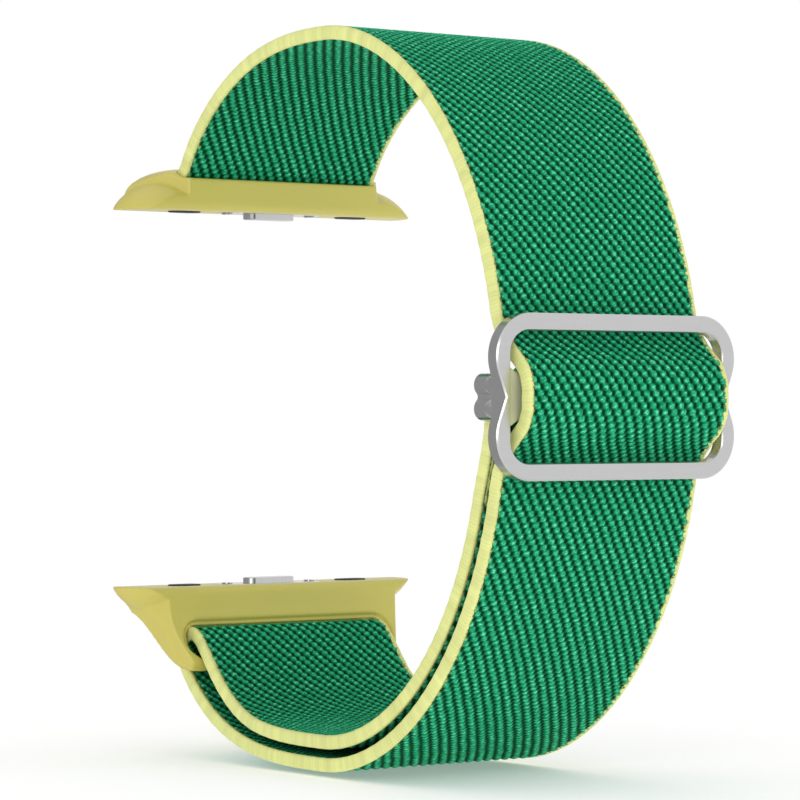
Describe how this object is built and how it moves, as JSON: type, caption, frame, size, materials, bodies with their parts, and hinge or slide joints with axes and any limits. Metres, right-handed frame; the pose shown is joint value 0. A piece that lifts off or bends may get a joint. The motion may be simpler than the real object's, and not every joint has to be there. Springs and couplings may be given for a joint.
{
  "type": "elastic watch band",
  "caption": "Woven elastic watch band in a closed loop, with a slide buckle on the front and a lug at each end that slides into a watch case and clicks.",
  "frame": {"origin": "middle of the watch case that the band is made for, halfway between the two lug tongues", "axes": "+X across the band, -Y towards the buckle, +Z towards the upper lug"},
  "size_m": [0.0358, 0.0611, 0.072],
  "materials": {
    "webbing": "woven elastic",
    "selvedge": "woven edge",
    "thread": "sewing thread",
    "buckle_steel": "satin with polished bevels",
    "lug_paint": "satin",
    "hardware_steel": "satin",
    "pad_rubber": "matte"
  },
  "bodies": {
    "band": {"webbing_upper_run": "webbing", "webbing_over_bar": "webbing", "webbing_lower_run": "webbing", "selvedge_upper_run": "selvedge", "selvedge_over_bar": "selvedge", "selvedge_lower_run": "selvedge", "upper_lug_body": "lug_paint", "upper_catch_spring": "hardware_steel", "upper_retainer_plate": "hardware_steel", "upper_retainer_screws": "hardware_steel", "upper_lug_pads": "pad_rubber"},
    "loop_end": {"webbing_end_loop": "webbing", "selvedge_end_loop": "selvedge", "end_loop_stitching": "thread"},
    "buckle": {"buckle_frame": "buckle_steel", "buckle_bar": "buckle_steel"},
    "upper_catch": {"upper_catch": "hardware_steel"},
    "lower_lug": {"lower_lug_body": "lug_paint", "lower_catch_spring": "hardware_steel", "lower_retainer_plate": "hardware_steel", "lower_retainer_screws": "hardware_steel", "lower_lug_pads": "pad_rubber"},
    "lower_catch": {"lower_catch": "hardware_steel"}
  },
  "joints": [
    {"name": "buckle_slide", "type": "slide", "parent": "band", "child": "loop_end", "axis": [0, 0, 1], "range_m": [-0.0025, 0.0025], "deforming": ["webbing_over_bar", "selvedge_over_bar", "webbing_end_loop", "selvedge_end_loop", "end_loop_stitching"]},
    {"name": "buckle_tilt", "type": "hinge", "parent": "loop_end", "child": "buckle", "pos_m": [0, -0.05393, 0], "axis": [1, 0, 0], "range_deg": [-1.5, 1.5]},
    {"name": "upper_catch_press", "type": "slide", "parent": "band", "child": "upper_catch", "axis": [0, 0, 1], "range_m": [0, 0.0006], "stiffness_N_per_m": 1500, "springref_m": -0.0003, "deforming": ["upper_catch_spring"]},
    {"name": "lower_lug_swing", "type": "hinge", "parent": "band", "child": "lower_lug", "pos_m": [0, -0.00458, -0.027], "axis": [1, 0, 0], "range_deg": [-10, 10]},
    {"name": "lower_catch_press", "type": "slide", "parent": "lower_lug", "child": "lower_catch", "axis": [0, 0, -1], "range_m": [0, 0.0006], "stiffness_N_per_m": 1500, "springref_m": -0.0003, "deforming": ["lower_catch_spring"]}
  ]
}
